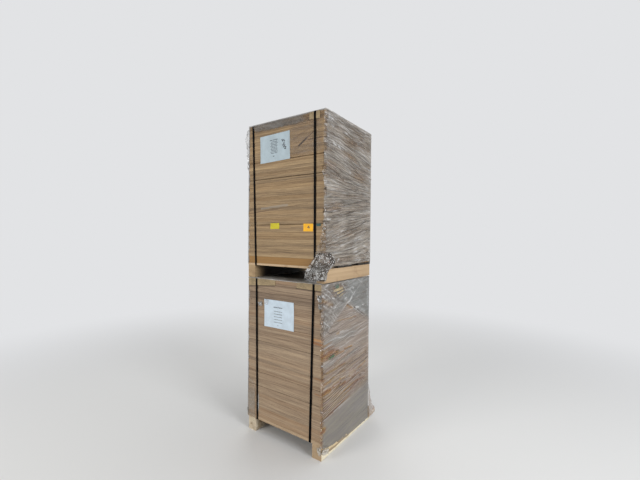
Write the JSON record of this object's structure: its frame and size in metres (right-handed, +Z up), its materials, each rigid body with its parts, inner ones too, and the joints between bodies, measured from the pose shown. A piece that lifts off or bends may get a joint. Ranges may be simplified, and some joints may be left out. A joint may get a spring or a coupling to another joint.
{
  "type": "strapped stack of oak panels",
  "caption": "Tower of flat oak panels in strapped, film-wrapped packs on timber bearers, one pack standing on the other, with edge protectors, labels and torn film at the front.",
  "frame": {"origin": "on the floor under the middle of the whole stack's box, its loose film included", "axes": "+Z up, +X to the right along the front with the labels, +Y from the front to the back"},
  "size_m": [0.8239, 0.8301, 2.4321],
  "materials": {
    "oak": "matte",
    "softwood": "matte",
    "strap": "satin",
    "pressed_board": "matte",
    "stretch_film": "gloss",
    "paper": "matte",
    "yellow_paper": "satin",
    "orange_paper": "satin"
  },
  "bodies": {
    "root": {"lower_left_bearer": "softwood", "lower_right_bearer": "softwood", "lower_deck_boards": "softwood", "lower_panels": "oak", "lower_left_strap": "strap", "lower_right_strap": "strap", "lower_left_front_protector": "pressed_board", "lower_right_front_protector": "pressed_board", "lower_left_rear_protector": "pressed_board", "lower_right_rear_protector": "pressed_board", "lower_film": "stretch_film", "lower_label": "paper", "upper_left_bearer": "softwood", "upper_right_bearer": "softwood", "upper_deck_boards": "softwood", "upper_panels": "oak", "upper_left_strap": "strap", "upper_right_strap": "strap", "upper_right_front_protector": "pressed_board", "upper_right_rear_protector": "pressed_board", "upper_film": "stretch_film", "upper_film_tuft": "stretch_film", "upper_film_tail": "stretch_film", "upper_label": "paper", "yellow_sticker": "yellow_paper", "orange_sticker": "orange_paper"}
  },
  "joints": []
}
